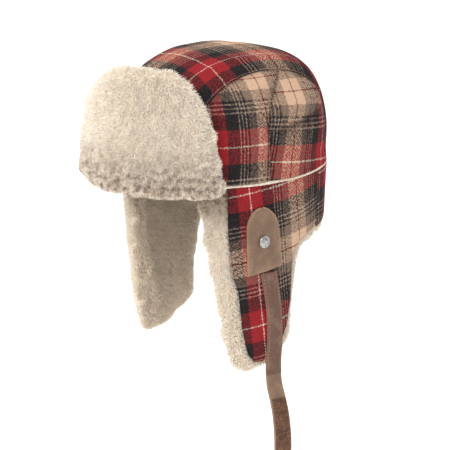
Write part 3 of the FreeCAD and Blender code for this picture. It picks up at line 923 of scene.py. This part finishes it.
# Blades of pile scattered over a pad, each bent, tapered and combed into locks.
def pileTree():
    sizes = {"Density": 1e6, "Length": 8 * mm, "Width": 0.7 * mm}
    tree, given = newTree("furPile", "Pad", "Pile", sizes, seeded=True)
    blade = addNode(tree, "GeometryNodeMeshGrid", {"Size X": given["Width"], "Size Y": 1.0, "Vertices X": 2,
                                                   "Vertices Y": 2}).outputs["Mesh"]
    where = tree.nodes.new("GeometryNodeInputPosition").outputs[0]
    place = addNode(tree, "ShaderNodeSeparateXYZ", {0: where})
    along = maths(tree, "ADD", place.outputs[1], 0.5)
    taper = maths(tree, "MULTIPLY_ADD", along, -0.7, 1.0)
    bend = maths(tree, "MULTIPLY", along, 0.3)
    shaped = addNode(tree, "ShaderNodeCombineXYZ", {
        0: maths(tree, "MULTIPLY", place.outputs[0], taper),
        1: maths(tree, "MULTIPLY", bend, given["Length"]),
        2: maths(tree, "MULTIPLY", along, given["Length"])}).outputs[0]
    stored = addNode(tree, "GeometryNodeStoreNamedAttribute", {"Geometry": blade, "Name": "along",
                                                               "Value": along}, data_type="FLOAT")
    blade = addNode(tree, "GeometryNodeSetPosition", {"Geometry": stored.outputs[0],
                                                      "Position": shaped}).outputs[0]
    grown = addNode(tree, "GeometryNodeInputNamedAttribute", {"Name": "pileShare"}, data_type="FLOAT")
    density = maths(tree, "MULTIPLY", given["Density"], maths(tree, "GREATER_THAN", grown.outputs[0], 0.9))
    scattered = addNode(tree, "GeometryNodeDistributePointsOnFaces", {
        "Mesh": given["Pad"], "Density": density, "Seed": given["Seed"]})
    lock = addNode(tree, "ShaderNodeTexNoise", {"Vector": where, "Scale": 170.0, "Detail": 2.0})
    lock = vectorMaths(tree, "SUBTRACT", lock.outputs["Color"], (0.5, 0.5, 0.5))
    lock = vectorMaths(tree, "SCALE", lock, scale=1.5)
    stray = addNode(tree, "FunctionNodeRandomValue", {0: (-0.35, -0.35, -0.6), 1: (0.35, 0.35, 0.1),
                                                      "Seed": given["Seed"]}, data_type="FLOAT_VECTOR")
    lean = vectorMaths(tree, "ADD", lock, stray.outputs[0])
    lean = vectorMaths(tree, "ADD", scattered.outputs["Normal"], lean)
    turn = addNode(tree, "FunctionNodeAlignRotationToVector", {"Vector": lean}, axis="Z").outputs[0]
    spin = randomBetween(tree, given["Seed"], 0.0, 6.283)
    spun = addNode(tree, "FunctionNodeAxisAngleToRotation", {"Axis": (0, 0, 1), "Angle": spin})
    turn = addNode(tree, "FunctionNodeRotateRotation", {"Rotation": turn, "Rotate By": spun.outputs[0]},
                   rotation_space="LOCAL").outputs[0]
    scale = randomBetween(tree, given["Seed"], 0.65, 1.15)
    blades = addNode(tree, "GeometryNodeInstanceOnPoints", {
        "Points": scattered.outputs["Points"], "Instance": blade, "Rotation": turn, "Scale": scale})
    tone = randomBetween(tree, given["Seed"], 0.0, 1.0)
    toned = addNode(tree, "GeometryNodeStoreNamedAttribute", {"Geometry": blades.outputs[0], "Name": "tone",
                                                              "Value": tone},
                    data_type="FLOAT", domain="INSTANCE").outputs[0]
    real = addNode(tree, "GeometryNodeRealizeInstances", {0: toned}).outputs[0]
    whole = tree.nodes.new("GeometryNodeJoinGeometry")
    tree.links.new(real, whole.inputs[0])
    based = addNode(tree, "GeometryNodeStoreNamedAttribute", {"Geometry": given["Pad"], "Name": "along",
                                                              "Value": 0.35}, data_type="FLOAT").outputs[0]
    tree.links.new(based, whole.inputs[0])
    return endTree(tree, whole.outputs[0], given["Finish"])


def setInput(modifier, name, value):
    for item in modifier.node_group.interface.items_tree:
        if item.name == name and item.in_out == "INPUT":
            modifier[item.identifier] = value


def growPile(made, plan, tree):
    modifier = made.modifiers.new("pile", "NODES")
    modifier.node_group = tree
    setInput(modifier, "Density", plan["density"])
    setInput(modifier, "Length", padding["pile"])
    setInput(modifier, "Seed", plan["seed"])
    setInput(modifier, "Finish", materials["fur"])
    return applyModifiers(made)


# The front flap's cloth side, shaped as its fur is.
def makeBacking():
    made = copyOfNode("front_flap_backing", "frontBackingCloth", materials["plaid"])
    remeshEvenly(made, 0.9 * mm)
    thin = made.modifiers.new("thin", "DECIMATE")
    thin.ratio = 0.35
    applyModifiers(made)
    places = coordinates(made)
    turn = np.arctan2(places[:, 0] / hat["halfWidth"], -places[:, 1] / hat["halfLength"])
    cloth = np.column_stack([turn * (hat["halfWidth"] + hat["halfLength"]) / 2, places[:, 2]])
    shapeFront(made)
    cutCloth(made, cloth)
    made.data.polygons.foreach_set("use_smooth", [True] * len(made.data.polygons))
    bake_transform(made)
    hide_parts("front_flap_backing", "front_flap_interlining")
    print("front backing", len(made.data.polygons), "faces")


def makeFur():
    tree = pileTree()
    for node, plan in furPads.items():
        made = swellPad(copyOfNode(node, plan["name"], materials["fur"]), plan)
        bareShare(made, node)
        growPile(made, plan, tree)
        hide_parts(node)
        if node == "front_flap_fur":
            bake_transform(made)
        elif node == "neck_flap_fur":
            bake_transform(made)
        else:
            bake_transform(made)
        print(plan["name"], len(made.data.polygons), "faces")


makeFur()
makeBacking()


piping = {"radius": 1.5 * mm, "steps": 260, "around": 10, "front": -60 * mm, "level": -1.6 * mm}


# Round tube along a path, closed at both ends, with an optional ripple of its radius.
def sweepRound(name, path, radius, around, material, ripple=0.0):
    path = np.asarray(path, float)
    tangents = np.gradient(path, axis=0)
    tangents /= np.linalg.norm(tangents, axis=1)[:, None]
    up = np.array([0.0, 0.0, 1.0])
    points = []
    for index, (place, tangent) in enumerate(zip(path, tangents)):
        side = np.cross(tangent, up)
        side /= np.linalg.norm(side)
        lift = np.cross(side, tangent)
        reach = radius * (1 + ripple * math.sin(index * 2.1) * math.cos(index * 0.37))
        for turn in np.linspace(0, 2 * math.pi, around, endpoint=False):
            points.append(place + reach * (side * math.cos(turn) + lift * math.sin(turn)))
    faces = gridFaces(len(path), around, closed=True)
    faces += tubeEnds(len(path), around)
    made = makeObject(name, points, faces, material)
    pointOut(made)
    return made


def makePiping():
    end = math.acos(piping["front"] / hat["halfLength"])
    turn = np.linspace(-end, end, piping["steps"])
    wide, deep = hat["halfWidth"] - 0.4 * mm, hat["halfLength"] - 0.4 * mm
    path = np.column_stack([wide * np.sin(turn), deep * np.cos(turn), np.full(turn.shape, piping["level"])])
    path[:, 2] += 0.4 * mm * softNoise(path, 30.0, 2.0)
    made = sweepRound("crownPiping", path, piping["radius"], piping["around"], materials["piping"], 0.08)
    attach(made, "crown")
    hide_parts("seam_piping")


makePiping()


leather = {"wall": 2.2 * mm, "lift": 0.2 * mm, "patchHalf": 17.5 * mm, "patchTop": -25 * mm,
           "patchFoot": -86 * mm, "patchY": -16 * mm, "strapY": -7.5 * mm, "strapWide": 18 * mm,
           "exit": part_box("left_strap_sewn")[0].z - 1.4 * mm, "drop": -57 * mm, "rimReach": 2.2 * mm,
           "flareFrom": -172 * mm, "flare": 2 * mm, "strapShift": 3.6 * mm, "bow": 5 * mm}
leather["tilt"] = (leather["strapY"] - leather["patchY"]) / (leather["patchFoot"] - leather["exit"])


def onWall(side, y, z, out):
    return np.array([side * hangX(y, z, out), y, z])


# Arched patch with straight sides and a slanting foot, cut from thick leather.
def patchShape(side):
    half, rows, columns = leather["patchHalf"], 44, 28
    points, rims = [], []
    for row in np.linspace(0, 1, rows):
        for column in np.linspace(-1, 1, columns):
            arch = min(row / 0.3, 1)
            wide = half * (0.9 + 0.18 * row) * math.sqrt(max(1 - (1 - arch) ** 2, 0.004))
            across = column * wide
            foot = leather["patchFoot"] - 2 * leather["tilt"] * across * -1
            z = leather["patchTop"] + row * (foot - leather["patchTop"])
            y = leather["patchY"] + across + leather["tilt"] * (leather["drop"] - z)
            curl = 0.5 * mm * (abs(column) ** 6 + row ** 8)
            points.append(onWall(side, y, z, leather["lift"] + leather["wall"] - 0.2 * mm + curl))
            near = min(wide * (1 - abs(column)), (1 - row) * 60 * mm, row * 60 * mm + 1 * mm)
            rims.append(math.exp(-near / leather["rimReach"]))
    made = makeObject("leftPatch" if side > 0 else "rightPatch", points, gridFaces(rows, columns),
                      materials["patch"])
    setShare(made, "rim", rims)
    solidify(outwards(made), leather["wall"] - 0.2 * mm, 0.5 * mm)
    return made


# Strap with rounded edges along a path, from its centre points, width and outward directions.
def flatStrap(name, path, widths, outs, wide, wall, material, corner=0.35):
    section = []
    for turn in np.linspace(0, 2 * math.pi, 24, endpoint=False):
        c, s = math.cos(turn), math.sin(turn)
        section.append((math.copysign(abs(c) ** corner, c) * wide / 2,
                        math.copysign(abs(s) ** corner, s) * wall / 2))
    points, rims = [], []
    for place, width, out in zip(path, widths, outs):
        for across, through in section:
            points.append(place + width * across + out * through)
            rims.append(math.exp(-(wide / 2 - abs(across)) / leather["rimReach"]))
    around = len(section)
    faces = gridFaces(len(path), around, closed=True)
    faces += tubeEnds(len(path), around)
    made = makeObject(name, points, faces, material)
    setShare(made, "rim", rims)
    pointOut(made)
    return made


# Centre of the sewn strap, from under the patch to where it leaves the flap.
def strapLine(share):
    z = leather["patchFoot"] - 2.2 * mm + share * (leather["exit"] - leather["patchFoot"] + 2.2 * mm)
    y = leather["patchY"] + leather["tilt"] * (leather["drop"] - leather["patchFoot"])
    y += share * (leather["strapY"] - y)
    return y + leather["strapShift"] + leather["bow"] * math.sin(math.pi * min(max(share, 0), 1)), z


def strapFrames(side, shares):
    path, widths, outs = [], [], []
    for share in shares:
        y, z = strapLine(share)
        flare = max(leather["flareFrom"] - z, 0) / (leather["flareFrom"] - leather["exit"])
        out = leather["lift"] + leather["wall"] / 2 + leather["flare"] * flare ** 2
        place = onWall(side, y, z, out)
        beside = onWall(side, y + 1 * mm, z, out) - place
        width = beside / np.linalg.norm(beside)
        below = onWall(side, *strapLine(share + 0.01), out) - place
        outward = np.cross(width, below)
        outward *= math.copysign(1, outward[0] * side) / np.linalg.norm(outward)
        path.append(place)
        widths.append(width)
        outs.append(outward)
    return path, widths, outs


freeStrap = {"out": [2, 4, 9, 11, 11.5, 10.5, 11], "down": [-1.4, 8, 22, 41, 68, 96, 119],
             "aside": [0, -1, 0, 3, 5, 4.5, 3.5], "turn": 14, "tapeStart": 0.2, "tapeEnd": 0.9,
             "tapeWide": 14.5 * mm, "tapeWall": 1.2 * mm}


# The free strap's line, as a smooth spline through its route's points.
def strapRoute():
    low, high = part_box("left_strap_free")
    start = Vector((low.x + leather["wall"] / 2, (low.y + high.y) / 2 + leather["strapShift"], high.z))
    curve = bpy.data.curves.new("strapRoute", "CURVE")
    curve.dimensions = "3D"
    spline = curve.splines.new("NURBS")
    spline.points.add(len(freeStrap["out"]) - 1)
    route = zip(spline.points, freeStrap["out"], freeStrap["aside"], freeStrap["down"])
    for point, out, aside, down in route:
        point.co = (start.x + out * mm, start.y + aside * mm, start.z - down * mm, 1)
    spline.order_u = 3
    spline.use_endpoint_u = True
    spline.resolution_u = 24
    holder = intoScene("strapRoute", curve)
    bpy.context.view_layer.update()
    line = bpy.data.meshes.new_from_object(holder.evaluated_get(bpy.context.evaluated_depsgraph_get()))
    path = np.array([vertex.co[:] for vertex in line.vertices])
    bpy.data.objects.remove(holder)
    return path[::-1] if path[0, 2] < path[-1, 2] else path


# Short stitches spaced along a curve, each lying in the curve's direction.
def stitchTree():
    sizes = {"Pitch": 3.4 * mm, "Thickness": 0.35 * mm, "Stitch": 2.4 * mm}
    tree, given = newTree("stitchRow", "Seam", "Stitches", sizes)
    bead = addNode(tree, "GeometryNodeMeshUVSphere", {"Segments": 6, "Rings": 4, "Radius": 1.0}).outputs[0]
    half = maths(tree, "MULTIPLY", given["Stitch"], 0.5)
    inputs = {0: given["Thickness"], 1: given["Thickness"], 2: half}
    size = addNode(tree, "ShaderNodeCombineXYZ", inputs).outputs[0]
    spaced = addNode(tree, "GeometryNodeCurveToPoints", {"Curve": given["Seam"], "Length": given["Pitch"]},
                     mode="LENGTH")
    turn = addNode(tree, "FunctionNodeAlignRotationToVector", {"Vector": spaced.outputs["Tangent"]},
                   axis="Z").outputs[0]
    beads = addNode(tree, "GeometryNodeInstanceOnPoints", {
        "Points": spaced.outputs["Points"], "Instance": bead, "Rotation": turn, "Scale": size}).outputs[0]
    real = addNode(tree, "GeometryNodeRealizeInstances", {0: beads}).outputs[0]
    return endTree(tree, real, given["Finish"])


# Sew rows of stitches along polylines and leave them as one plain mesh on a body.
def stitchRows(name, lines, body):
    curve = bpy.data.curves.new(name, "CURVE")
    curve.dimensions = "3D"
    for line in lines:
        spline = curve.splines.new("POLY")
        spline.points.add(len(line) - 1)
        for point, place in zip(spline.points, line):
            point.co = (*place, 1)
    holder = intoScene(name + "Line", curve)
    modifier = holder.modifiers.new("stitches", "NODES")
    modifier.node_group = stitches
    setInput(modifier, "Finish", materials["thread"])
    bpy.context.view_layer.update()
    mesh = bpy.data.meshes.new_from_object(holder.evaluated_get(bpy.context.evaluated_depsgraph_get()))
    bpy.data.objects.remove(holder)
    mesh.polygons.foreach_set("use_smooth", [True] * len(mesh.polygons))
    made = intoScene(name, mesh)
    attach(made, body)
    return made


stitches = stitchTree()


# Line just inside a patch's edge.
def patchSeam(side):
    inset, half = 2.6 * mm, leather["patchHalf"]
    line = []
    for turn in np.linspace(math.pi, 0, 30):
        reach = half - inset
        line.append((math.cos(turn) * reach, leather["patchTop"] - half + math.sin(turn) * reach))
    foot = leather["patchFoot"] + inset
    line = [(-half + inset, foot - 2 * leather["tilt"] * (half - inset))] + line
    line.append((half - inset, foot + 2 * leather["tilt"] * (half - inset)))
    line.append(line[0])
    places = []
    for across, z in resample(line, 160):
        y = leather["patchY"] + across + leather["tilt"] * (leather["drop"] - z)
        places.append(onWall(side, y, z, leather["lift"] + leather["wall"] + 0.15 * mm))
    return places


def makeLeather():
    for side, hand in ((1, "left"), (-1, "right")):
        made = patchShape(side)
        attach(made, hand + "_ear_flap")
        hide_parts(hand + "_strap_patch")
        stitchRows(hand + "PatchStitches", [patchSeam(side)], hand + "_ear_flap")
    path, widths, outs = strapFrames(1, np.linspace(0, 1, 60))
    made = flatStrap("leftSewnStrap", path, widths, outs, leather["strapWide"], leather["wall"],
                     materials["strap"])
    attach(made, "left_ear_flap")
    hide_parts("left_strap_sewn")
    rows = []
    for edge in (-1, 1):
        reach = edge * (leather["strapWide"] / 2 - 2.2 * mm)
        lift = leather["wall"] / 2 + 0.1 * mm
        rows.append([p + w * reach + o * lift for p, w, o in zip(path, widths, outs)])
    stitchRows("leftStrapStitches", [row[:-4] for row in rows], "left_ear_flap")
    print("leather sewn on")


def makeFreeStrap():
    path = resample(strapRoute(), 90)
    turns = np.radians(freeStrap["turn"]) * np.clip(np.linspace(-0.1, 1.9, len(path)), 0, 1)
    widths = [np.array([math.sin(turn), math.cos(turn), 0.0]) for turn in turns]
    tangents = np.gradient(path, axis=0)
    outs = [np.cross(width, tangent) for width, tangent in zip(widths, tangents)]
    outs = [out * math.copysign(1, out[0]) / np.linalg.norm(out) for out in outs]
    strap = flatStrap("leftFreeStrap", path, widths, outs, leather["strapWide"], leather["wall"],
                      materials["patch"])
    first, last = int(freeStrap["tapeStart"] * len(path)), int(freeStrap["tapeEnd"] * len(path))
    lift = (leather["wall"] + freeStrap["tapeWall"]) / 2 - 0.1 * mm
    tapePath = [p + o * lift for p, o in zip(path[first:last], outs[first:last])]
    tape = flatStrap("leftLoopTape", tapePath, widths[first:last], outs[first:last], freeStrap["tapeWide"],
                     freeStrap["tapeWall"], materials["tape"], 0.5)
    pieces = ((strap, "left_strap_free", "leather"), (tape, "left_strap_loop_tape", "loop_tape"))
    for made, node, finish in pieces:
        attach(made, "left_strap")
        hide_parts(node)


makeLeather()
makeFreeStrap()


rivet = {"radius": 6 * mm, "height": 2.0 * mm, "steps": 40}


# Domed cap with a rolled rim round a shallow groove.
def makeRivet(side, hand):
    low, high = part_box(hand + "_rivet")
    foot = side * (max(abs(low.x), abs(high.x)) - rivet["height"])
    centre = (low + high) / 2
    r, t = rivet["radius"], rivet["height"]
    profile = [(r * 0.9, -0.3 * t), (r, 0.1 * t), (r * 0.97, 0.42 * t), (r * 0.88, 0.55 * t),
               (r * 0.78, 0.42 * t), (r * 0.7, 0.4 * t), (r * 0.62, 0.62 * t), (r * 0.45, 0.88 * t),
               (r * 0.25, t), (r * 0.08, t)]
    points = []
    for radius, lift in profile:
        for turn in np.linspace(0, 2 * math.pi, rivet["steps"], endpoint=False):
            points.append((foot + side * lift, centre.y + radius * math.cos(turn),
                           centre.z + radius * math.sin(turn)))
    faces = gridFaces(len(profile), rivet["steps"], closed=True)
    faces.append(tuple(range(rivet["steps"])))
    faces.append(tuple(range(len(points) - rivet["steps"], len(points))))
    made = makeObject(hand + "RivetCap", points, faces, materials["metal"])
    pointOut(made)
    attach(made, hand + "_ear_flap")
    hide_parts(hand + "_rivet")


makeRivet(1, "left")
makeRivet(-1, "right")


keptFinishes = {
    "crown_wadding": "wadding", "crown_lining": "lining", "sweatband": "sweatband",
    "left_rivet_washer": "metal", "right_rivet_washer": "metal", "right_strap_tab": "patch",
    "right_strap_ring": "metal",
}
for node, finish in keptFinishes.items():
    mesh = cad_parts[node].data
    mesh.materials.clear()
    mesh.materials.append(materials[finish])


studio = {"floor": -0.75, "reach": 6.0, "azimuth": 53, "elevation": 15.7, "distance": 2.0, "lens": 166.4,
          "aimRight": 0.0067, "aimUp": -0.0621, "ambient": 0.88}


def makeStudio():
    bpy.context.scene.view_settings.view_transform = "Standard"
    white, _, shader = newMaterial("paleFloor", Roughness=1.0)
    shader.inputs["Base Color"].default_value = colour(250, 250, 250)
    shader.inputs["Emission Color"].default_value = (1, 1, 1, 1)
    shader.inputs["Emission Strength"].default_value = 0.35
    reach, level = studio["reach"], studio["floor"]
    floor = makeObject("paleFloor", [(-reach, -reach, level), (reach, -reach, level), (reach, reach, level),
                                     (-reach, reach, level)], [(0, 1, 2, 3)], white, smooth=False)
    world = bpy.data.worlds.new("studioWorld")
    bpy.context.scene.world = world
    world.use_nodes = True
    sky = world.node_tree
    seen = addNode(sky, "ShaderNodeLightPath").outputs["Is Camera Ray"]
    sky.links.new(maths(sky, "MULTIPLY_ADD", seen, 1 - studio["ambient"], studio["ambient"]),
                  sky.nodes["Background"].inputs[1])
    sky.nodes["Background"].inputs[0].default_value = (1, 1, 1, 1)
    lamps = (("keyLight", (0.5, -2.4, 2.2), 1.3, 72), ("fillLight", (-2.4, -1.6, 1.0), 2.0, 20),
             ("backLight", (0.5, 2.6, 1.8), 1.8, 14))
    for name, place, size, power in lamps:
        lamp = bpy.data.lights.new(name, "AREA")
        lamp.shape = "DISK"
        lamp.size = size
        lamp.energy = power
        holder = intoScene(name, lamp)
        holder.location = place
        holder.rotation_euler = (-Vector(place)).to_track_quat("-Z", "Y").to_euler()
    lens = bpy.data.cameras.new("studioCamera")
    lens.sensor_width = 36
    lens.lens = studio["lens"]
    camera = intoScene("studioCamera", lens)
    azimuth, elevation = math.radians(studio["azimuth"]), math.radians(studio["elevation"])
    back = Vector((math.sin(azimuth) * math.cos(elevation), -math.cos(azimuth) * math.cos(elevation),
                   math.sin(elevation)))
    right = Vector((math.cos(azimuth), math.sin(azimuth), 0))
    up = back.cross(right)
    camera.location = back * studio["distance"] + right * studio["aimRight"] + up * studio["aimUp"]
    camera.rotation_euler = (-back).to_track_quat("-Z", "Y").to_euler()
    bpy.context.scene.camera = camera


makeStudio()
print("studio made")
